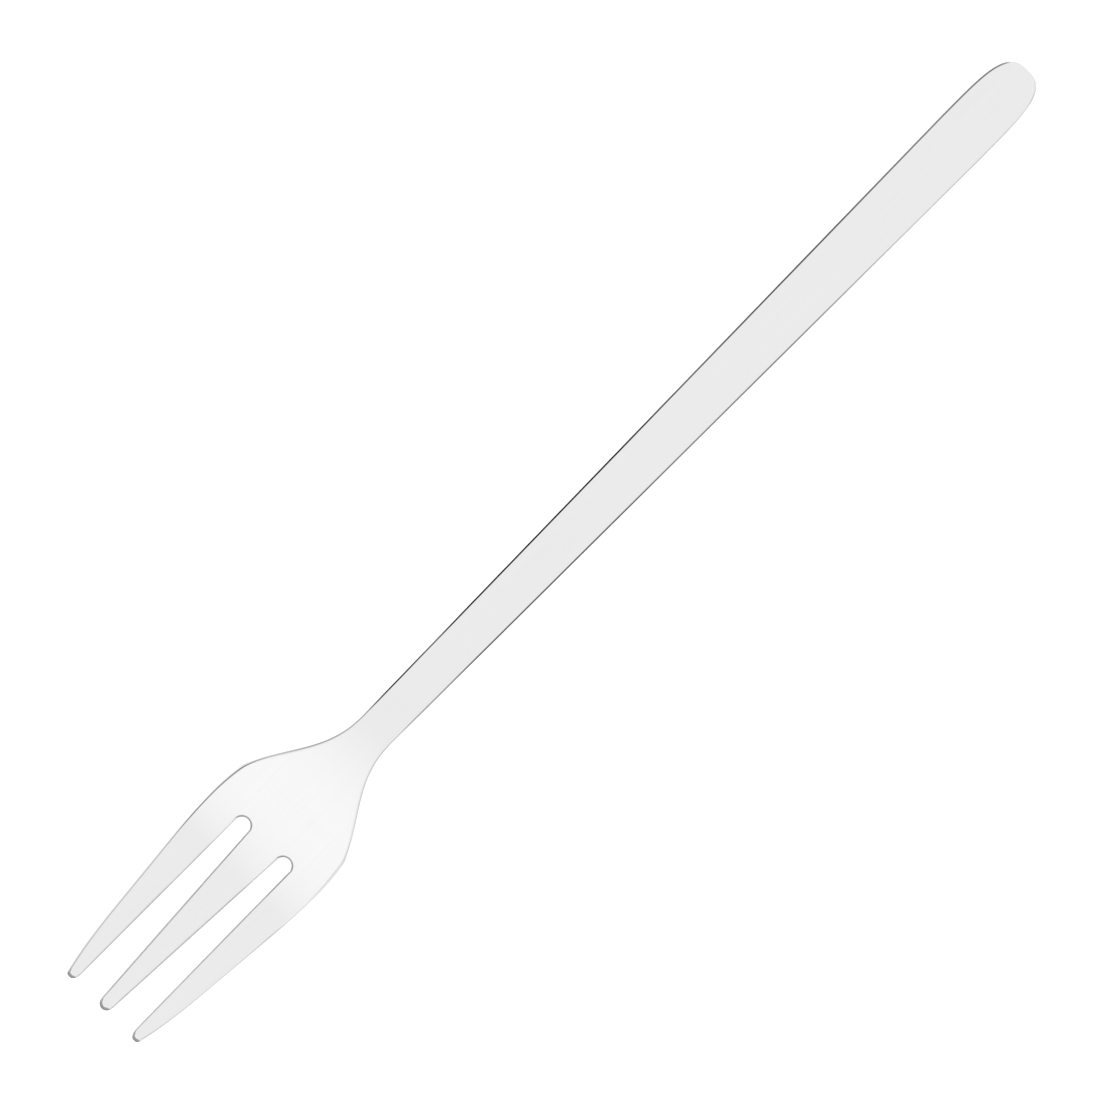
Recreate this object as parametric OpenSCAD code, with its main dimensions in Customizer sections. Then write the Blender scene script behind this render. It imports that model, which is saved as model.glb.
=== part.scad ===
// Pastry fork with three tines, pressed from one piece of stainless steel sheet.
// The flat blank is drawn in plan as rows of points across the metal. Each row is then
// lifted onto the pressed form, given its thickness, and closed by a rounded rim.
// In plan, x runs across the fork and t is the distance from the tips of the tines.

/* [Whole fork] */
// Length in plan, from the tips to the end of the handle
fork_len = 150; // [130:1:180]
// Thickness of the handle and the neck
sheet_t = 1.6; // [1.3:0.1:2.2]
// Thickness at the tips of the tines
tip_t = 1.4; // [1.1:0.1:2.2]
// Radius of the rounded edges
edge_r = 0.35; // [0.15:0.05:0.45]

/* [Handle] */
// Width of the neck, where the handle is narrowest
neck_w = 4.64; // [3.6:0.02:6]
// Width of the handle near its end, where it is widest
end_w = 6.68; // [5:0.02:9]
// Length over which the end rounds off
end_len = 11; // [8:0.1:20]

/* [Head] */
// Width across the outer tines, where the head is widest
head_w = 16.85; // [14:0.05:20]
// Distance from the tips to the widest place
widest_t = 26.5; // [23:0.1:29]
// Distance from the tips to the end of the shoulders, where the neck begins
neck_t = 45.8; // [41:0.1:55]
// Length of the curve from the straight side of an outer tine to the widest place
side_curve_len = 6.4; // [3:0.2:12]
// How far the sides of the tines draw in towards their tips
tip_draw = 0.57; // [0:0.01:0.8]
// Length over which the sides draw in
tip_draw_len = 11; // [6:0.5:18]

/* [Tines and slots] */
// Distance from the tips to the root of a slot
slot_len = 27.1; // [22:0.1:28.5]
// Width of a slot at its round root
slot_root_w = 1.94; // [1.5:0.02:2.6]
// Width of a slot at the tips
slot_tip_w = 3.56; // [2.6:0.02:4.5]
// Width of the middle tine at the root of the slots
middle_root_w = 4.66; // [3.6:0.02:5.6]
// Width of the middle tine at its tip
middle_tip_w = 1.66; // [1.2:0.02:2.4]
// Width of an outer tine at its tip
outer_tip_w = 1.28; // [1.1:0.02:2]
// Length of the rounded nose of a tine
nose_len = 0.85; // [0.6:0.05:1.1]

/* [Pressed form] */
// Distance from the tips to the start of the bend at the neck
bend_t = 48.5; // [44:0.5:56]
// Distance from the tips to the steepest place of the palm
steep_t = 32; // [28:0.5:36]
// Distance from the tips to the place where the tines turn straight
straight_t = 12; // [6:0.5:18]
// Angle by which the palm dips below the line of the handle
dip_angle = 27.5; // [15:0.5:35]
// Angle by which the tines rise above the line of the handle
rise_angle = 17.5; // [8:0.5:25]
// Depth of the dish across the head
dish = 0.35; // [0:0.05:0.6]

/* [Hidden] */

// Facets of the rounded rim, of one slot root, of a tine's nose and of the handle's end
rim_steps = 4;
root_steps = 8;
nose_steps = 10;
end_steps = 31;
// Rows of facets along the tines, round the slot roots, and on to the handle
tine_rows = 24;
root_rows = 4;
palm_rows = 22;

// Where the rows round the slot roots have become straight, in slot widths past the root
settle_share = 1.1;
// Where the shoulders begin to draw in, between the widest place and the neck
shoulder_share = 0.2;
// How far the sides have curved in by the neck, against the head's half width
shoulder_draw_share = 0.87;
// Where the head ends and the flat handle begins, past the bend and the shoulders
join_share = 1.03;
// Powers of a rounded end's curve, across it and along it: the handle's end, the middle
// tine's nose, and the slot side and the outer side of an outer tine's nose
end_powers = [2.9, 4.6];
middle_nose_powers = [2, 1.8];
slot_nose_powers = [2, 1.6];
side_nose_powers = [5, 2.4];
// Most of the nose's length that the rounded edge may take
nose_share = 0.9;
// Power of the curve that draws the tips in
draw_power = 3;
// Step along the outline over which its slope is measured
probe = fork_len / 10000;
// Places along the underside at which the fork is tried against the table
under_steps = 200;

head_half = head_w / 2;
neck_half = neck_w / 2;
end_half = end_w / 2;
end_t = fork_len - end_len;
join_t = max(bend_t, neck_t) * join_share;
root_r = slot_root_w / 2;
root_t = slot_len - root_r;
settle_t = slot_len + slot_root_w * settle_share;
shoulder_t = widest_t + (neck_t - widest_t) * shoulder_share;

// Slopes of the walls of a slot, and the place of its root across the fork
middle_slope = (middle_root_w - middle_tip_w) / 2 / root_t;
root_x = middle_root_w / 2 + root_r * norm([1, middle_slope]);
outer_inner_tip = middle_tip_w / 2 + slot_tip_w;
outer_slope = (root_x + root_r - outer_inner_tip) / root_t;
tip_half = outer_inner_tip + outer_tip_w;

// Slope of the outer side of an outer tine, before it curves to the widest place
side_slope = (head_half - tip_half - tip_draw) / (widest_t - side_curve_len / 2);

dip_slope = tan(dip_angle);
rise_slope = tan(rise_angle);

function mix(a, b, share) = a + (b - a) * share;
function clamp(v) = min(1, max(0, v));
function ease(v) = let (u = clamp(v)) u * u * (3 - 2 * u);

// Area under the ease from the start of a stretch: what a slope that eases in adds up to
function eased_in(d, len) =
    let (u = clamp(d / len))
    len * (pow(u, 3) - pow(u, 4) / 2) + max(0, d - len);

// Half width of the head: a straight tapering side, a curve to the widest place, and back in
function head_side(t) =
    let (
        d = widest_t - t,
        back = head_half * shoulder_draw_share * pow(-d / (neck_t - widest_t), 2),
        curve = side_slope * d * d / (2 * side_curve_len),
        side = side_slope * (d - side_curve_len / 2)
    )
    head_half
        - (d < 0 ? back : d < side_curve_len ? curve : side)
        - tip_draw * pow(clamp(1 - t / tip_draw_len), draw_power);

// Half width of the handle: a straight taper from the neck to where the end begins
function handle_side(t) = mix(neck_half, end_half, (t - neck_t) / (end_t - neck_t));

// Half width of the whole fork in plan, with the shoulders eased from the head to the handle
function half_width(t) =
    let (share = ease((t - shoulder_t) / (neck_t - shoulder_t)))
    share <= 0 ? head_side(t)
        : share >= 1 ? handle_side(t)
        : mix(head_side(t), handle_side(t), share);

// Outer edge, drawn in square to itself by the inset e
function edge(t, e) =
    let (slope = (half_width(t + probe) - half_width(t - probe)) / (2 * probe))
    half_width(t) - e * norm([1, slope]);

// Walls of a slot, drawn back into the metal by the inset e
function middle_wall(t, e) =
    middle_root_w / 2 + middle_slope * (t - root_t) - e * norm([1, middle_slope]);
function outer_wall(t, e) =
    root_x + (root_r + e) * norm([1, outer_slope]) + outer_slope * (t - root_t);

// Round root of the right slot, from the middle tine's wall to the outer tine's wall
function root_arc(e) = [
    for (i = [0 : root_steps])
        let (a = mix(atan(middle_slope), 180 + atan(outer_slope), i / root_steps))
        [root_x - (root_r + e) * cos(a), root_t + (root_r + e) * sin(a)]
];

// Points of a rounded end at an angle from -90 on its left to 90 on its right: how far
// across it from -1 to 1, and how far back from its tip as a share of its length
function end_across(angle, powers) = sign(angle) * pow(abs(sin(angle)), 2 / powers[0]);
function end_back(angle, powers) = 1 - pow(clamp(cos(angle)), 2 / powers[1]);

// Outline of a tine's nose, from left to right. It ends on the tine's walls at x0 and x1.
function nose_line(x0, x1, e, left_powers, right_powers) =
    let (len = max(nose_len - e, nose_len * (1 - nose_share)))
    [
        for (i = [0 : nose_steps])
            let (
                angle = mix(-90, 90, i / nose_steps),
                powers = angle < 0 ? left_powers : right_powers
            )
            [
                mix(x0, x1, (1 + end_across(angle, powers)) / 2),
                nose_len - len + len * end_back(angle, powers)
            ]
    ];
function middle_nose(e) =
    let (x = middle_wall(nose_len, e))
    nose_line(-x, x, e, middle_nose_powers, middle_nose_powers);
function outer_nose(e) =
    let (x0 = outer_wall(nose_len, e), x1 = edge(nose_len, e))
    nose_line(x0, x1, e, slot_nose_powers, side_nose_powers);

// Rows of the middle tine behind its nose, each from its left wall to its right wall
function tine_t(j) = mix(nose_len, root_t, j / tine_rows);
function middle_rows(e) = [
    for (j = [0 : tine_rows - 1])
        let (t = tine_t(j), x = middle_wall(t, e))
        [[-x, t], [x, t]],
    let (p = root_arc(e)[0])
    [[-p.x, p.y], p]
];

// Rows of the right outer tine behind its nose, each from its slot to its outer side
function outer_rows(e) = [
    for (j = [0 : tine_rows - 1])
        let (t = tine_t(j))
        [[outer_wall(t, e), t], [edge(t, e), t]],
    [root_arc(e)[root_steps], [edge(root_t, e), root_t]]
];

function flipped(row) = [for (i = [len(row) - 1 : -1 : 0]) [-row[i].x, row[i].y]];
function tail(row) = [for (i = [1 : len(row) - 1]) row[i]];

// Row across the whole palm that goes round both slot roots, from left to right
function root_row(e) =
    let (right = concat(root_arc(e), tail(outer_rows(e)[tine_rows])))
    concat(flipped(right), right);

// Rows of the palm and the neck, which start round the roots and become straight and even
function palm_t(j) = j <= root_rows
    ? mix(root_t, settle_t, j / root_rows)
    : mix(settle_t, join_t, (j - root_rows) / palm_rows);
function palm_rows_at(e) =
    let (first = root_row(e), n = len(first) - 1)
    [
        first,
        for (j = [1 : root_rows + palm_rows])
            let (t = palm_t(j), x = edge(t, e), even = ease((t - root_t) / (neck_t - root_t)))
            [
                for (i = [0 : n])
                    [
                        x * mix(first[i].x / first[n].x, 2 * i / n - 1, even),
                        mix(first[i].y, settle_t, min(1, j / root_rows)) + max(0, t - settle_t)
                    ]
            ]
    ];

// Row round the end of the handle, from left to right
function end_row(e) = [
    for (i = [0 : end_steps])
        let (angle = mix(-90, 90, i / end_steps))
        [
            (end_half - e) * end_across(angle, end_powers),
            fork_len - e - (end_len - e) * end_back(angle, end_powers)
        ]
];

// The pressed form: how high the middle of the sheet lies, and its slope towards the tips
first_bend = bend_t - steep_t;
second_bend = steep_t - straight_t;
function spine(t) =
    (dip_slope + rise_slope) * eased_in(max(0, steep_t - t), second_bend)
        - dip_slope * eased_in(max(0, bend_t - t), first_bend);
function spine_slope(t) =
    (dip_slope + rise_slope) * ease((steep_t - t) / second_bend)
        - dip_slope * ease((bend_t - t) / first_bend);
function dish_share(t) = ease((neck_t - t) / (neck_t - widest_t)) * dish / pow(head_half, 2);
function thickness(t) = mix(sheet_t, tip_t, ease((bend_t - t) / bend_t));

// Lifts a plan point onto the form, at a height above or below the middle of the sheet
function lift(p, height) =
    let (
        n = [-2 * dish_share(p.y) * p.x, -spine_slope(p.y), 1],
        middle = spine(p.y) + dish_share(p.y) * p.x * p.x
    )
    [p.x, -p.y, middle] + n / norm(n) * height;
function top_of(row) = [for (p = row) lift(p, thickness(p.y) / 2)];
function underside_of(row) = [for (p = row) lift(p, -thickness(p.y) / 2)];

// The rim: at each step an inset from the outline, and a drop from the face of the sheet
rim_angles = [for (i = [0 : rim_steps]) 90 * i / rim_steps];
rim_insets = [for (a = rim_angles) edge_r * (1 - sin(a))];
rim_drops = [for (a = rim_angles) edge_r * (1 - cos(a))];

// Joins chains of points into facets that face up where each row runs from left to right
// and the rows run from the tips to the handle
function strip(a, b) = [
    for (i = [0 : len(a) - 2])
        each [[a[i], a[i + 1], b[i + 1]], [a[i], b[i + 1], b[i]]]
];
function skin(rows) = [for (j = [0 : len(rows) - 2]) each strip(rows[j], rows[j + 1])];
function turned(facets) = [for (f = facets) [f[0], f[2], f[1]]];

// A flat face inside a line of points, as a fan of facets from its first point
function fan(line) = [for (i = [1 : len(line) - 2]) [line[0], line[i], line[i + 1]]];

// Bands of the rim along an open line of plan points, given for each inset, metal on the right
function rim(lines) =
    let (
        upper = [
            for (k = [0 : rim_steps])
                [for (p = lines[k]) lift(p, thickness(p.y) / 2 - rim_drops[k])]
        ],
        lower = [
            for (k = [rim_steps : -1 : 0])
                [for (p = lines[k]) lift(p, rim_drops[k] - thickness(p.y) / 2)]
        ]
    )
    skin(concat(upper, lower));

module closed_body(facets) {
    polyhedron(
        points = [for (f = facets) each f],
        faces = [for (i = [0 : len(facets) - 1]) [3 * i, 3 * i + 1, 3 * i + 2]]
    );
}

// Section across the flat handle where the head joins it: chains of its top and underside
function join_chain(height_sign, row) = concat(
    [
        for (k = [rim_steps : -1 : 1])
            lift([-edge(join_t, rim_insets[k]), join_t], height_sign * (sheet_t / 2 - rim_drops[k]))
    ],
    [for (p = row) lift(p, height_sign * sheet_t / 2)],
    [
        for (k = [1 : rim_steps])
            lift([edge(join_t, rim_insets[k]), join_t], height_sign * (sheet_t / 2 - rim_drops[k]))
    ]
);

// Outline of the head at an inset, from the left end of the join round to the right end
function column(rows, i) = [for (row = rows) row[i]];
function reversed(line) = [for (i = [len(line) - 1 : -1 : 0]) line[i]];
function head_line(e) =
    let (
        outer = outer_rows(e),
        palm = palm_rows_at(e),
        right = concat(
            [for (i = [nose_steps / 2 : nose_steps]) middle_nose(e)[i]],
            tail(column(middle_rows(e), 1)),
            tail(root_arc(e)),
            tail(reversed(column(outer, 0))),
            tail(outer_nose(e)),
            tail(column(outer, 1)),
            tail(column(palm, len(palm[0]) - 1))
        )
    )
    concat(flipped(right), tail(right));

module head() {
    e = rim_insets[0];
    outer = outer_rows(e);
    palm = palm_rows_at(e);
    noses = [middle_nose(e), outer_nose(e), flipped(outer_nose(e))];
    rows_of = [middle_rows(e), outer, [for (row = outer) flipped(row)], palm];
    last = palm[len(palm) - 1];
    closed_body(concat(
        [for (nose = noses) each fan(top_of(nose))],
        [for (nose = noses) each turned(fan(underside_of(nose)))],
        [for (rows = rows_of) each skin([for (row = rows) top_of(row)])],
        [for (rows = rows_of) each turned(skin([for (row = rows) underside_of(row)]))],
        turned(rim([for (k = [0 : rim_steps]) head_line(rim_insets[k])])),
        strip(join_chain(1, last), join_chain(-1, last))
    ));
}

// Outline of the handle at an inset, from the right end of the join round to the left end
function handle_line(e) = concat(
    [[edge(join_t, e), join_t]],
    reversed(end_row(e)),
    [[-edge(join_t, e), join_t]]
);

module handle() {
    line = handle_line(rim_insets[0]);
    ends = [line[len(line) - 1], line[0]];
    closed_body(concat(
        fan(top_of(line)),
        turned(fan(underside_of(line))),
        turned(rim([for (k = [0 : rim_steps]) handle_line(rim_insets[k])])),
        turned(strip(join_chain(1, ends), join_chain(-1, ends)))
    ));
}

// How the fork lies at rest: on the end of its handle and on the lowest place of the palm
heel = lift([0, fork_len - edge_r], -sheet_t / 2);
under_line = [
    for (j = [0 : under_steps])
        let (t = bend_t * j / under_steps)
        lift([0, t], -thickness(t) / 2)
];
lay_angle = -min([for (p = under_line) atan2(p.z - heel.z, p.y - heel.y)]);
function laid(p) = [
    p.x,
    p.y * cos(lay_angle) - p.z * sin(lay_angle),
    p.y * sin(lay_angle) + p.z * cos(lay_angle)
];
outline_points = [
    for (k = [0 : rim_steps], p = concat(head_line(rim_insets[k]), handle_line(rim_insets[k])))
        each [
            laid(lift(p, thickness(p.y) / 2 - rim_drops[k])),
            laid(lift(p, rim_drops[k] - thickness(p.y) / 2))
        ]
];
front_y = max([for (p = outline_points) p.y]);
back_y = min([for (p = outline_points) p.y]);

module fork() {
    color([0.86, 0.86, 0.87])
        translate([0, -(front_y + back_y) / 2, -laid(heel).z])
            rotate([lay_angle, 0, 0])
                union() {
                    head();
                    handle();
                }
}

fork();
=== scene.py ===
import math

import bpy
import numpy as np
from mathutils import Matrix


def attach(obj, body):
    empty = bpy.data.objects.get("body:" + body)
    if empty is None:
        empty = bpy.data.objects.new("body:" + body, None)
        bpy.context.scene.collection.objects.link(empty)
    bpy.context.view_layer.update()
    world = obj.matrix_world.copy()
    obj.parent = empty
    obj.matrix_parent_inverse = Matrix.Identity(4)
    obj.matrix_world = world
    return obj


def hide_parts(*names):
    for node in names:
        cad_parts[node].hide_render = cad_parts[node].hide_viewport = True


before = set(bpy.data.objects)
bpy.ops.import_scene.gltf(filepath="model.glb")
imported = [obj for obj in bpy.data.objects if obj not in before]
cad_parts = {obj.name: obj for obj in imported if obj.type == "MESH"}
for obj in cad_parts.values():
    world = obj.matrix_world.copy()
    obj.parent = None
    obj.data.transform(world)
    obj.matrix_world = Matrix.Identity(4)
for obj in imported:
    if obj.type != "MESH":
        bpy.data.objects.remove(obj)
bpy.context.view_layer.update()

# The camera stands over the table and looks straight down, turned so that the fork lies corner to
# corner, tines at the lower left. It is far enough away that a flat fork is hardly in perspective.
# Lengths here are in metres, and the turn is in degrees.
camera_height = 1.2
view_width = 0.12517
look_at = (0.00033, 0.002207, 0.004)
picture_turn = 224.616

camera_data = bpy.data.cameras.new("camera")
camera_data.sensor_width = 36
camera_data.lens = camera_data.sensor_width * camera_height / view_width
camera_data.clip_end = 50
camera = bpy.data.objects.new("camera", camera_data)
camera.location = (look_at[0], look_at[1], look_at[2] + camera_height)
camera.rotation_euler = (0, 0, math.radians(picture_turn))
bpy.context.scene.collection.objects.link(camera)
bpy.context.scene.camera = camera
bpy.context.scene.view_settings.view_transform = "Standard"

# The fork is one piece of stainless steel sheet. Its blank is punched with three tines and two
# slots, rolled a little thinner towards the tips, pressed to a double bend, and rounded and
# polished all over. Lengths are in millimetres, and t is the distance from the tips.
fork_len = 150
sheet_thick = 1.6
tip_thick = 1.4
edge_r = 0.35

# the handle widens from the neck to its rounded end
neck_t = 45.8
neck_w = 4.64
end_w = 6.68
end_len = 11

# in front of its widest place, the head's sides curve into straight tapers, which draw in a little
# more over the last stretch to the tips
widest_t = 26.5
head_w = 16.85
side_curve_len = 6.4
tip_draw_len = 11
tip_draw = 0.57

# behind it, the shoulders curve in by a share of the head's half width on the way to the neck, and
# run into the handle from a share of that way
shoulder_draw_share = 0.87
shoulder_share = 0.2

# the slots with their round roots, the middle tine, the outer tines' tips and all the noses
slot_len = 27.1
slot_root_w = 1.94
slot_tip_w = 3.56
middle_root_w = 4.66
middle_tip_w = 1.66
outer_tip_w = 1.28
nose_len = 0.85

# the sheet dips from the bend, most steeply at steep_t, turns up again, and rises straight over the
# last stretch to the tips. The angles are in degrees, and the dish is how far the head's sides
# stand above its middle
bend_t = 48.5
steep_t = 32
straight_t = 12
dip_angle = 27.5
rise_angle = 17.5
dish = 0.35

# where the rows round the slot roots have become straight, in slot widths past the root, and where
# the palm's rows end and the handle's begin, against the distance of the neck
settle_share = 1.1
grip_share = 1.2

# powers of a rounded end's curve, across it and along it: the handle's end, the middle tine's nose,
# and the slot side and the outer side of an outer tine's nose
end_powers = (2.9, 4.6)
middle_nose_powers = (2, 1.8)
slot_nose_powers = (2, 1.6)
side_nose_powers = (5, 2.4)

# how the fork lies on the table: turned about X, in degrees, and then moved along the table and up
lay_angle = 3.53642
lay_forward = 74.715
lay_up = 10.0293

# the step along the outline and the sheet over which their slopes are measured
probe = 0.01

head_half = head_w / 2
root_r = slot_root_w / 2
root_t = slot_len - root_r
end_t = fork_len - end_len
shoulder_t = widest_t + shoulder_share * (neck_t - widest_t)
settle_t = slot_len + settle_share * slot_root_w
grip_t = grip_share * neck_t
middle_slope = (middle_root_w - middle_tip_w) / 2 / root_t
root_x = middle_root_w / 2 + root_r * math.hypot(1, middle_slope)
outer_inner_tip = middle_tip_w / 2 + slot_tip_w
outer_slope = (root_x + root_r - outer_inner_tip) / root_t
tip_half = outer_inner_tip + outer_tip_w
side_slope = (head_half - tip_half - tip_draw) / (widest_t - side_curve_len / 2)
dip_slope = math.tan(math.radians(dip_angle))
rise_slope = math.tan(math.radians(rise_angle))


def between(first, last, share):
    """The first value plus a share of the way to the last."""
    return first + (last - first) * share


def eased(value, low, high):
    """The value's share of the way from low to high, kept in 0 to 1, as three squares of the share less
    two cubes, so that it starts and stops gently."""
    share = np.clip((value - low) / (high - low), 0, 1)
    return share * share * (3 - 2 * share)


def eased_run(run, length):
    """What the eased share adds up to along a run: its cube less half its fourth power, then the rest."""
    share = np.clip(run / length, 0, 1)
    return length * (share**3 - share**4 / 2) + np.maximum(0, run - length)


def side_of_head(t):
    """Half width of the head: a parabola behind the widest place, and in front of it a parabola that
    runs into a straight taper, less a cubic draw of the tips."""
    ahead = widest_t - t
    behind = head_half * shoulder_draw_share * (ahead / (neck_t - widest_t)) ** 2
    turning = side_slope * ahead**2 / (2 * side_curve_len)
    tapering = side_slope * (ahead - side_curve_len / 2)
    lost = np.where(ahead < 0, behind, np.where(ahead < side_curve_len, turning, tapering))
    return head_half - lost - tip_draw * np.clip(1 - t / tip_draw_len, 0, 1) ** 3


def half_width(t):
    """Half width of the blank: the head's, eased over the shoulder into the handle's straight flare."""
    handle = between(neck_w / 2, end_w / 2, (t - neck_t) / (end_t - neck_t))
    return between(side_of_head(t), handle, eased(t, shoulder_t, neck_t))


def side_line(t, inset):
    """The blank's side, moved in by the inset square to itself."""
    slope = (half_width(t + probe) - half_width(t - probe)) / (2 * probe)
    return half_width(t) - inset * np.hypot(1, slope)


def middle_line(t, inset):
    """The straight side of the middle tine, moved in by the inset."""
    return middle_root_w / 2 + middle_slope * (t - root_t) - inset * math.hypot(1, middle_slope)


def slot_line(t, inset):
    """The straight slot side of the outer tine, moved into the tine by the inset."""
    return root_x + (root_r + inset) * math.hypot(1, outer_slope) + outer_slope * (t - root_t)


# steps from row to row: in a nose, along the tines, round the slot roots, over the palm, along the
# handle and in its end, and columns across a tine, round a slot's root and across the palm
nose_steps = 5
tine_steps = 64
root_steps = 6
palm_steps = 60
handle_steps = 72
end_steps = 12
tine_columns = 12
arc_columns = 24
all_columns = 3 * tine_columns + 2 * arc_columns

tine_rows = np.linspace(nose_len, root_t, tine_steps + 1)
palm_rows = np.concatenate([
    np.linspace(root_t, settle_t, root_steps + 1)[:-1],
    np.linspace(settle_t, grip_t, palm_steps + 1),
])
handle_rows = np.linspace(grip_t, end_t, handle_steps + 1)

# turns points of the right side into those of the left
mirror = np.array([-1, 1])


def plan(across, t):
    """Points of the flat blank, as pairs of the distance across and the distance from the tips."""
    across, t = np.broadcast_arrays(across, t)
    return np.stack([across, t], -1)


def traced(line, t, inset):
    """Points of one of the blank's lines, moved in by the inset, at distances from the tips."""
    return plan(line(t, inset), t)


def root_arc(inset):
    """The round end of the slot: an arc of a circle from the middle tine's side to the outer tine's."""
    angle = np.linspace(math.atan(middle_slope), math.pi + math.atan(outer_slope), arc_columns + 1)
    reach = root_r + inset
    return plan(root_x - reach * np.cos(angle), root_t + reach * np.sin(angle))


def rounded_end(left_powers, right_powers, steps):
    """Half a superellipse from its left side over its tip to its right: shares of the half width, by a
    power of the sine, and shares of the length back from the tip, 1 less a power of the cosine."""
    angle = np.linspace(-math.pi / 2, math.pi / 2, steps + 1)
    left = angle < 0
    across_power = 2 / np.where(left, left_powers[0], right_powers[0])
    back_power = 2 / np.where(left, left_powers[1], right_powers[1])
    across = np.sign(angle) * np.abs(np.sin(angle)) ** across_power
    return across, 1 - np.clip(np.cos(angle), 0, 1) ** back_power


def nose(left_line, right_line, inset, left_powers, right_powers):
    """The rounded tip of a tine: half a superellipse between the tine's two sides."""
    across, back = rounded_end(left_powers, right_powers, tine_columns)
    t = inset + (nose_len - inset) * back
    return plan(between(left_line(t, inset), right_line(t, inset), (1 + across) / 2), t)


def middle_nose(inset):
    """The middle tine's tip, the same on both sides."""
    def left_line(t, inset):
        return -middle_line(t, inset)
    return nose(left_line, middle_line, inset, middle_nose_powers, middle_nose_powers)


def outer_nose(inset):
    """The outer tine's tip, rounder on the slot's side."""
    return nose(slot_line, side_line, inset, slot_nose_powers, side_nose_powers)


def handle_tip(inset):
    """The handle's end: half a superellipse from its left side round to its right side."""
    across, back = rounded_end(end_powers, end_powers, all_columns)
    return plan((end_w / 2 - inset) * across, fork_len - inset - (end_len - inset) * back)


def whole_outline(inset):
    """The blank's outline at an inset, as one closed loop: from the middle tine's tip round the right
    side to the handle's end, and back along the mirror image."""
    tine = tine_rows[1:-1]
    right = np.concatenate([
        middle_nose(inset)[tine_columns // 2:],
        traced(middle_line, tine, inset),
        root_arc(inset),
        traced(slot_line, tine, inset)[::-1],
        outer_nose(inset),
        traced(side_line, tine, inset),
        traced(side_line, palm_rows, inset),
        traced(side_line, handle_rows, inset)[1:-1],
        handle_tip(inset)[all_columns // 2:][::-1],
    ])
    return np.concatenate([right, right[-2:0:-1] * mirror])


def spine(t):
    """Height of the pressed sheet along its middle: a dip below the handle and a rise to the tips."""
    rise = (dip_slope + rise_slope) * eased_run(np.maximum(0, steep_t - t), steep_t - straight_t)
    return rise - dip_slope * eased_run(np.maximum(0, bend_t - t), bend_t - steep_t)


def dished(t):
    """The dish: the height that the head gains for each square millimetre of the distance across."""
    return eased(t, neck_t, widest_t) * dish / head_half**2


def thickness(t):
    """The sheet, rolled thinner from the bend to the tips."""
    return between(sheet_thick, tip_thick, eased(t, bend_t, 0))


def pressed(points, height):
    """Points of the blank on the pressed sheet, with the sheet's upward normal. The sheet's height is
    the spine plus the dish times the square of the distance across, and the points stand off it along
    the normal by the height given."""
    across, t = points[..., 0], points[..., 1]
    dish_rise = (dished(t - probe) - dished(t + probe)) * across**2
    along = (spine(t - probe) - spine(t + probe) + dish_rise) / (2 * probe)
    normal = np.stack([-2 * dished(t) * across, -along, np.ones_like(t)], -1)
    normal /= np.linalg.norm(normal, axis=-1, keepdims=True)
    middle = np.stack([across, -t, spine(t) + dished(t) * across**2], -1)
    return middle + normal * np.broadcast_to(height, t.shape)[..., None], normal


def laid_down(vectors, shift):
    """Turns vectors about X to the way the fork rests on the table, and adds the shift."""
    cosine, sine = math.cos(math.radians(lay_angle)), math.sin(math.radians(lay_angle))
    across, along, up = vectors[..., 0], vectors[..., 1], vectors[..., 2]
    return np.stack([across, along * cosine - up * sine, along * sine + up * cosine], -1) + shift


def in_rows(first, last, steps):
    """Evenly spaced rows from one line to another with the same number of points."""
    share = np.linspace(0, 1, steps + 1)[:, None, None]
    return between(first[None], last[None], share)


def tine_face(left, right):
    """The flat of a tine, from its left side to its right side."""
    return in_rows(left, right, tine_columns).transpose(1, 0, 2)


def flat_faces(inset):
    """The blank's whole flat inside its rounded edge, as grids: noses, tines, palm, handle and end. The
    palm's first rows bend round the slot roots, and straighten evenly from there to the neck."""
    arc = root_arc(inset)
    middle_right = traced(middle_line, tine_rows, inset)
    middle_right[-1] = arc[0]
    slot_side = traced(slot_line, tine_rows, inset)
    slot_side[-1] = arc[-1]
    middle = tine_face(middle_right * mirror, middle_right)
    outer = tine_face(slot_side, traced(side_line, tine_rows, inset))
    outer_tip = in_rows(outer_nose(inset), outer[0], nose_steps)

    right_chain = np.concatenate([arc[:-1], outer[-1]])
    chain = np.concatenate([right_chain[::-1] * mirror, middle[-1, 1:-1], right_chain])
    spread = np.linspace(-1, 1, all_columns + 1)
    settled = np.minimum(1, np.arange(len(palm_rows)) / root_steps)[:, None]
    t = between(chain[None, :, 1], settle_t, settled) + np.maximum(0, palm_rows - settle_t)[:, None]
    across = between(chain[None, :, 0] / chain[-1, 0], spread[None], eased(t, root_t, neck_t))
    palm = plan(side_line(t, inset) * across, t)
    palm[0] = chain

    handle = plan(side_line(handle_rows, inset)[:, None] * spread[None], handle_rows[:, None])
    tip = handle_tip(inset)
    handle[-1] = in_rows(tip[:1], tip[-1:], all_columns)[:, 0]
    return [
        in_rows(middle_nose(inset), middle[0], nose_steps),
        middle,
        outer_tip,
        outer,
        outer_tip[:, ::-1] * mirror,
        outer[:, ::-1] * mirror,
        palm,
        handle,
        in_rows(handle[-1], tip, end_steps),
    ]


# steps of each quarter of the rounded edge, and where the slots' walls get painted shade, a darker
# colour that stands in for the shade of the tines beside them: over these distances from the tips it
# eases in and out, and so it does over these cosines of the edge's angle
edge_steps = 8
wall_in = (0, 3)
wall_out = (18, 24)
wall_turn = (0.25, 0.75)


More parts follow.
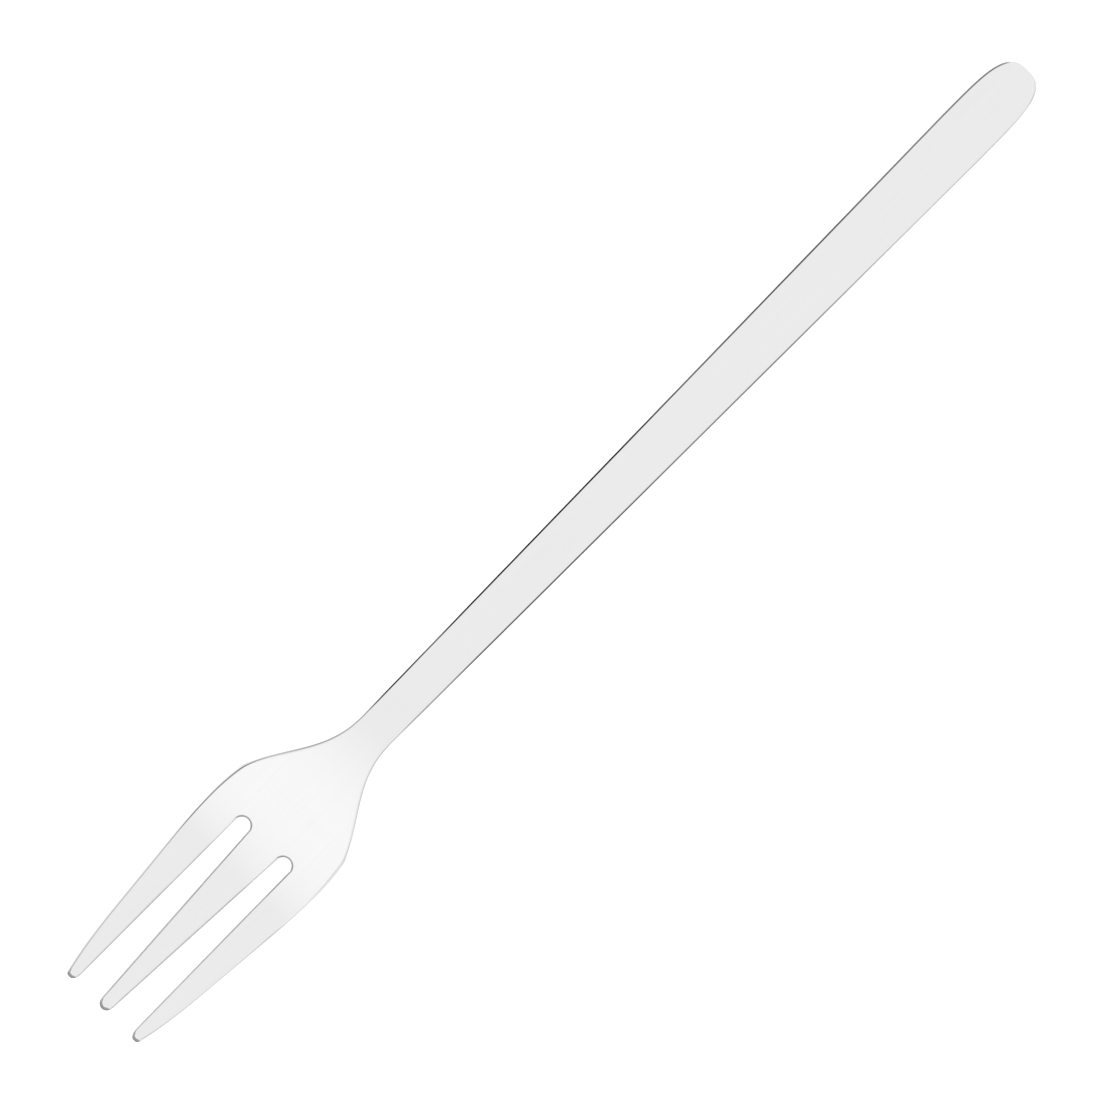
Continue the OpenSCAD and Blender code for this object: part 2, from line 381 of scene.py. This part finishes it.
def rounded_edge():
    """The edge all round: the outline carried along a profile of a quarter circle, a flat and a quarter
    circle. Gives points, normals, and the share of the slots' painted shade: 1 on their straight walls,
    easing to 0 round them."""
    quarter = np.radians(np.linspace(90, 0, edge_steps + 1))
    loops, normals, walls = [], [], []
    for face in (1, -1):
        for angle in quarter[::face]:
            sine, cosine = math.sin(angle), math.cos(angle)
            loop = whole_outline(edge_r * (1 - cosine))
            t = loop[:, 1]
            points, up = pressed(loop, face * (thickness(t) / 2 - edge_r * (1 - sine)))
            ahead = np.roll(points, -1, 0) - points
            ahead /= np.linalg.norm(ahead, axis=1, keepdims=True)
            out = np.cross(up, ahead + np.roll(ahead, 1, 0))
            out /= np.linalg.norm(out, axis=1, keepdims=True)
            loops.append(points)
            normals.append(up * face * sine + out * cosine)
            inside = np.abs(loop[:, 0]) < (slot_line(t, 0) + half_width(t)) / 2
            straight = eased(t, *wall_in) * (1 - eased(t, *wall_out))
            walls.append(inside * straight * eased(cosine, *wall_turn))
    return np.array(loops), np.array(normals), np.array(walls)


def travelled(points):
    """The distance gone from the first of a row of points to each of them."""
    return np.cumsum(np.linalg.norm(np.diff(points, axis=0, prepend=points[:1]), axis=1))


def corners_of(grid, flip):
    """The four corners of each of a grid's cells, the other way round if it is flipped."""
    four = [grid[:-1, :-1], grid[1:, :-1], grid[1:, 1:], grid[:-1, 1:]]
    if flip:
        four.reverse()
    return np.stack(four, 2).reshape(-1, 4, grid.shape[-1])


# each patch holds its corners' points, their normals, and where they lie in the polish: millimetres
# across it and along it, and how much of the painted shade of the slots' walls they take. The edge
# has its place past the faces, and there the polish runs round the fork
patches = []
for face in (1, -1):
    for grid in flat_faces(edge_r):
        points, up = pressed(grid, face * thickness(grid[..., 1]) / 2)
        finish_map = np.dstack([grid, np.zeros(grid.shape[:2])])
        patches.append([corners_of(values, face < 0) for values in (points, up * face, finish_map)])

points, normals, walls = (np.concatenate([values, values[:, :1]], 1) for values in rounded_edge())
over_length = travelled(points[:, 0])[:, None]
round_length = travelled(points[edge_steps])[None, :]
finish_map = np.dstack([plan(head_w + over_length, round_length), walls])
patches.append([corners_of(values, True) for values in (points, normals, finish_map)])
corner_points, corner_normals, corner_map = (np.concatenate(parts) for parts in zip(*patches))

# weld the grids along their shared rows, and leave out the cells that have closed to a line
weld_digits = 5
keys = np.round(corner_points.reshape(-1, 3), weld_digits)
welded, first, index = np.unique(keys, axis=0, return_index=True, return_inverse=True)
index = index.reshape(-1, 4)
kept = index != np.roll(index, -1, 1)
whole = kept.sum(1) > 2
index, kept = index[whole], kept[whole]
counts = kept.sum(1)
loop_vertices = index[kept]
loop_map = corner_map[whole][kept]
metres = laid_down(corner_points.reshape(-1, 3)[first], [0, lay_forward, lay_up]) / 1000

mesh = bpy.data.meshes.new("pastry_fork")
mesh.vertices.add(len(welded))
mesh.vertices.foreach_set("co", metres.ravel())
mesh.loops.add(len(loop_vertices))
mesh.loops.foreach_set("vertex_index", loop_vertices.astype(np.int32))
mesh.polygons.add(len(counts))
mesh.polygons.foreach_set("loop_start", (np.cumsum(counts) - counts).astype(np.int32))
mesh.polygons.foreach_set("loop_total", counts.astype(np.int32))
mesh.update(calc_edges=True)
mesh.validate()
mesh.uv_layers.new(name="polish").data.foreach_set("uv", loop_map[:, :2].ravel())
# this attribute carries the share of painted shade on the slots' walls
mesh.attributes.new("slot_shade", "FLOAT", "CORNER").data.foreach_set("value", loop_map[:, 2].copy())
mesh.polygons.foreach_set("use_smooth", np.ones(len(counts), bool))
mesh.normals_split_custom_set_from_vertices(laid_down(corner_normals.reshape(-1, 3)[first], 0).tolist())
fork = bpy.data.objects.new("pastry_fork", mesh)
bpy.context.scene.collection.objects.link(fork)


class Wire:
    """A socket in a node tree. Sums and products of wires add Math nodes, and add() makes any other
    node."""

    def __init__(self, tree, socket=None):
        self.tree = tree
        self.socket = socket

    def add(self, kind, sockets=None, out=0, **settings):
        """Adds a node, sets its settings first and then its sockets, to values or links, and gives one
        of its outputs."""
        node = self.tree.nodes.new(kind)
        for name, value in settings.items():
            setattr(node, name, value)
        for name, value in (sockets or {}).items():
            if isinstance(value, Wire):
                self.tree.links.new(value.socket, node.inputs[name])
            else:
                node.inputs[name].default_value = value
        return Wire(self.tree, node.outputs[out] if len(node.outputs) else None)

    def part(self, axis):
        """One part of a vector: 0, 1 or 2 for X, Y or Z."""
        return self.add("ShaderNodeSeparateXYZ", {"Vector": self}, out=axis)

    def maths(self, operation, *values):
        """One Math node."""
        return self.add("ShaderNodeMath", dict(enumerate(values)), operation=operation)

    def __add__(self, other):
        return self.maths("ADD", self, other)

    def __radd__(self, other):
        return self.maths("ADD", other, self)

    def __sub__(self, other):
        return self.maths("SUBTRACT", self, other)

    def __rsub__(self, other):
        return self.maths("SUBTRACT", other, self)

    def __mul__(self, other):
        return self.maths("MULTIPLY", self, other)

    def __rmul__(self, other):
        return self.maths("MULTIPLY", other, self)

    def __truediv__(self, other):
        return self.maths("DIVIDE", self, other)

    def __pow__(self, power):
        return self.maths("POWER", self, power)

    def smooth(self, low, high):
        """From 0 at low to 1 at high, with soft ends."""
        values = {"Value": self, "From Min": low, "From Max": high}
        return self.add("ShaderNodeMapRange", values, interpolation_type="SMOOTHSTEP")


# how light the steel is where it is buffed well and less well, how dark it is painted on the slots'
# walls as shade of the tines beside them, and how rough it is
bright, dull, wall_shade_grey = 0.785, 0.772, 0.66
smoothest, roughest, scratched = 0.045, 0.085, 0.03

# the polish is an even blend of noises, and most of it lies in the middle of its range
buffing_share, hair_share, cloud_share = 0.5, 0.3, 0.2
polish_range = (0.3, 0.7)

# pitch across the marks and length along them, in millimetres
buffing_size = (0.8, 45)
hair_size = (0.12, 9)

# the strongest hairlines are scratches, and only where the cloud is strong too
scratch_range = (0.62, 0.74)
scratch_cloud_range = (0.45, 0.6)

# clouds and ripples, by their scale for a metre, and depths of the marks and the ripple in metres
cloud_scale = 90.0
ripple_scale = 160.0
mark_depth = 1.2e-7
scratch_cut = 0.5
ripple_depth = 6e-7

steel = bpy.data.materials.new("polished_steel")
steel.use_nodes = True
steel.node_tree.nodes.clear()
sheet = Wire(steel.node_tree)
polish_map = sheet.add("ShaderNodeUVMap", uv_map="polish")
across_polish, along_polish = polish_map.part(0), polish_map.part(1)
place = sheet.add("ShaderNodeTexCoord", out="Object")
slot_shade = sheet.add("ShaderNodeAttribute", attribute_name="slot_shade", out="Fac")


def streaks(size, seed):
    """Noise drawn out along the polish, by its pitch across the marks and their length."""
    pitch, length = size
    sockets = {"X": across_polish / pitch, "Y": along_polish / length, "Z": seed}
    spot = sheet.add("ShaderNodeCombineXYZ", sockets)
    return sheet.add("ShaderNodeTexNoise", {"Vector": spot, "Scale": 1.0, "Detail": 3.0, "Roughness": 0.6})


def grey(lightness):
    """A plain grey, as a colour."""
    return (lightness, lightness, lightness, 1)


def mixed(share, low, high):
    """A colour between two others, by the share."""
    return sheet.add("ShaderNodeMix", {0: share, 6: low, 7: high}, out=2, data_type="RGBA")


buffing = streaks(buffing_size, 0.0)
hairs = streaks(hair_size, 7.0)
cloud = sheet.add("ShaderNodeTexNoise", {"Vector": place, "Scale": cloud_scale, "Detail": 2.0})
ripple = sheet.add("ShaderNodeTexNoise", {"Vector": place, "Scale": ripple_scale, "Detail": 1.0})
scratch = hairs.smooth(*scratch_range) * cloud.smooth(*scratch_cloud_range)
polish = buffing_share * buffing + hair_share * hairs + cloud_share * cloud
buffed = mixed(polish.smooth(*polish_range), grey(dull), grey(bright))
# the slots' walls are painted darker: painted shade that stands in for the shade of the tines beside them
tone_and_shade = mixed(slot_shade, buffed, grey(wall_shade_grey))
rough = (1 - polish).smooth(*polish_range)
finish = smoothest + (roughest - smoothest) * rough + scratched * scratch
marks = sheet.add("ShaderNodeBump", {
    "Strength": 1.0,
    "Distance": mark_depth,
    "Height": buffing + hairs - scratch_cut * scratch,
})
waves = sheet.add("ShaderNodeBump", {
    "Strength": 1.0,
    "Distance": ripple_depth,
    "Height": ripple,
    "Normal": marks,
})
shader = sheet.add("ShaderNodeBsdfPrincipled", {
    "Base Color": tone_and_shade,
    "Metallic": 1.0,
    "Roughness": finish,
    "Normal": waves,
})
sheet.add("ShaderNodeOutputMaterial", {"Surface": shader})
mesh.materials.append(steel)

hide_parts("fork")
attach(fork, "root")

# The table is a plain white board, lit so strongly that no shadow is left in the picture. The
# polished steel doesn't show it, and mirrors the pale studio round it instead.
board_size = 12.0
board_white = 0.8
board_glow = 0.6

reach = board_size / 2
board_corners = [(-reach, -reach, 0), (reach, -reach, 0), (reach, reach, 0), (-reach, reach, 0)]
board_mesh = bpy.data.meshes.new("table")
board_mesh.from_pydata(board_corners, [], [(0, 1, 2, 3)])
board = bpy.data.objects.new("table", board_mesh)
bpy.context.scene.collection.objects.link(board)
white = bpy.data.materials.new("white_board")
white.use_nodes = True
white.node_tree.nodes.clear()
paint = Wire(white.node_tree)
coat = paint.add("ShaderNodeBsdfPrincipled", {
    "Base Color": grey(board_white),
    "Roughness": 0.9,
    "Emission Color": (1, 1, 1, 1),
    "Emission Strength": board_glow,
})
paint.add("ShaderNodeOutputMaterial", {"Surface": coat})
board_mesh.materials.append(white)
board.visible_glossy = False

# The studio is a pale tent, even overhead and brighter in front of the tines, and below the horizon
# it is as pale as a board, and paler behind the palm. Soft grey bands hang near the horizon: deep
# ones on the right and in front, and lighter ones on the left.
tent_light = 1.065
front_light, front_start = 0.206, 0.07
board_light, board_heights = 0.95, (-0.7, -0.1)
board_gain, gain_heights, gain_turns = 0.35, (-0.9, -0.8), (-0.25, -0.1)

# the share of the light that each band takes, and where it does. Heights run from -1 straight below
# to 1 overhead, sides from 0 at the middle to 1, and turns from -1 behind to 1 straight ahead. The
# right band takes more towards the tines and less behind the middle, the left one less towards them
right_dark, right_turns = 0.54, (-0.7, -0.1)
right_front_dark, right_front_turns = 0.32, (0.05, 0.2)
right_gap, right_gap_turns = 0.16, ((-0.25, -0.15), (-0.12, -0.02))
right_sides, right_last_turns = (0.0, 0.4), (0.3, 0.7)
right_heights = ((-0.6, 0.0), (0.26, 0.69))
left_dark, left_turns = 0.37, (-0.24, 0.0)
left_front_gap, left_front_turns = 0.8, (0.04, 0.16)
left_sides = (0.6, 1.0)
left_heights = ((-0.8, -0.3), (0.1, 0.55))
back_dark, back_last_turns = 0.5, (-0.38, -0.3)
back_heights = ((-0.3, -0.1), (0.1, 0.3))
front_dark, front_turns = 0.6, (0.4, 0.7)
front_top = (0.46, 0.66)

# a small number that keeps the turns steady overhead
steady = 0.001

world = bpy.data.worlds.new("studio")
world.use_nodes = True
world.node_tree.nodes.clear()
bpy.context.scene.world = world
air = Wire(world.node_tree)
direction = air.add("ShaderNodeTexCoord")
east, north, up = (direction.part(axis) for axis in range(3))


def within(place, rise, fall):
    """1 between two soft ends: from 0 to 1 over the first pair of places, and back over the second."""
    return place.smooth(*rise) * (1 - place.smooth(*fall))


level = (east * east + north * north + steady) ** 0.5
turned = north / level
left_side = (0 - east / level).smooth(*left_sides)
right_side = east.smooth(*right_sides)

overhead = tent_light + front_light * air.maths("MAXIMUM", north - front_start, 0.0)
tent = overhead + (board_light - overhead) * (1 - up.smooth(*board_heights))
gain = board_gain * ((1 - up.smooth(*gain_heights)) * (1 - turned.smooth(*gain_turns)))

right_share = right_dark * turned.smooth(*right_turns)
right_share = right_share + right_front_dark * turned.smooth(*right_front_turns)
right_share = right_share - right_gap * within(turned, *right_gap_turns)
right_band = right_side * (1 - turned.smooth(*right_last_turns)) * within(up, *right_heights)
left_share = left_dark * turned.smooth(*left_turns)
left_share = left_share * (1 - left_front_gap * turned.smooth(*left_front_turns))
left_band = left_side * within(up, *left_heights)
back_band = left_side * (1 - turned.smooth(*back_last_turns)) * within(up, *back_heights)
front_band = turned.smooth(*front_turns) * (1 - up.smooth(*front_top))

light = tent * (1 + gain)
light = light * (1 - right_share * right_band) * (1 - left_share * left_band)
light = light * (1 - back_dark * back_band) * (1 - front_dark * front_band)
background = air.add("ShaderNodeBackground", {"Color": (1, 1, 1, 1), "Strength": light})
air.add("ShaderNodeOutputWorld", {"Surface": background})

# Three cards of black felt stand beside the handle and the neck, out of the picture. The rounded
# edge mirrors them as the dark lines of the handle's two sides. They fade out at their edges, and
# the camera and the table don't see them. Lengths are in metres: Y runs to the tips, and Z up.
card_ends = (-0.2, 0.1)
card_heights = (-0.2, 0.15)


def side_card(name, across, dark, foot, top, first_share, fades):
    """An upright card with a soft patch of black. The patch comes in over the heights of its foot and
    goes over those of its top. Along Y it has the first share of black, to which each fade adds its
    last number between its two places."""
    back, front = card_ends
    low, high = card_heights
    corners = [(across, back, low), (across, front, low), (across, front, high), (across, back, high)]
    card_mesh = bpy.data.meshes.new(name)
    card_mesh.from_pydata(corners, [], [(0, 1, 2, 3)])
    card = bpy.data.objects.new(name, card_mesh)
    bpy.context.scene.collection.objects.link(card)
    cloth = bpy.data.materials.new(name)
    cloth.use_nodes = True
    cloth.node_tree.nodes.clear()
    felt = Wire(cloth.node_tree)
    spot = felt.add("ShaderNodeTexCoord", out="Object")
    along, height = spot.part(1), spot.part(2)
    share = first_share
    for start, end, change in fades:
        share = share + change * along.smooth(start, end)
    mask = dark * share * within(height, foot, top)
    clear = felt.add("ShaderNodeBsdfTransparent")
    black = felt.add("ShaderNodeEmission", {"Strength": 0.0})
    patch = felt.add("ShaderNodeMixShader", {0: mask, 1: clear, 2: black})
    felt.add("ShaderNodeOutputMaterial", {"Surface": patch})
    card_mesh.materials.append(cloth)
    card.visible_camera = False
    card.visible_diffuse = False
    card.visible_shadow = False


side_card(
    "right_card", across=0.03, dark=1.0, foot=(-0.12, -0.03), top=(0.0165, 0.04), first_share=0,
    fades=[
        (-0.11, -0.09, 0.62),
        (-0.066, -0.045, 0.2),
        (-0.036, -0.026, -0.08),
        (-0.026, -0.012, 0.26),
        (0.0135, 0.0215, -1.0),
    ],
)
side_card(
    "neck_card", across=0.0299, dark=1.0, foot=(-0.03, -0.01), top=(0.0165, 0.04), first_share=0,
    fades=[
        (0.0135, 0.0225, 1.0),
        (0.025, 0.0335, -1.0),
    ],
)
side_card(
    "left_card", across=-0.05, dark=0.93, foot=(-0.08, 0.0), top=(0.026, 0.07), first_share=0.1,
    fades=[
        (-0.062, -0.034, 0.59),
        (-0.02, -0.008, 0.2),
        (0.0135, 0.0205, -0.42),
        (0.022, 0.0305, -0.47),
    ],
)
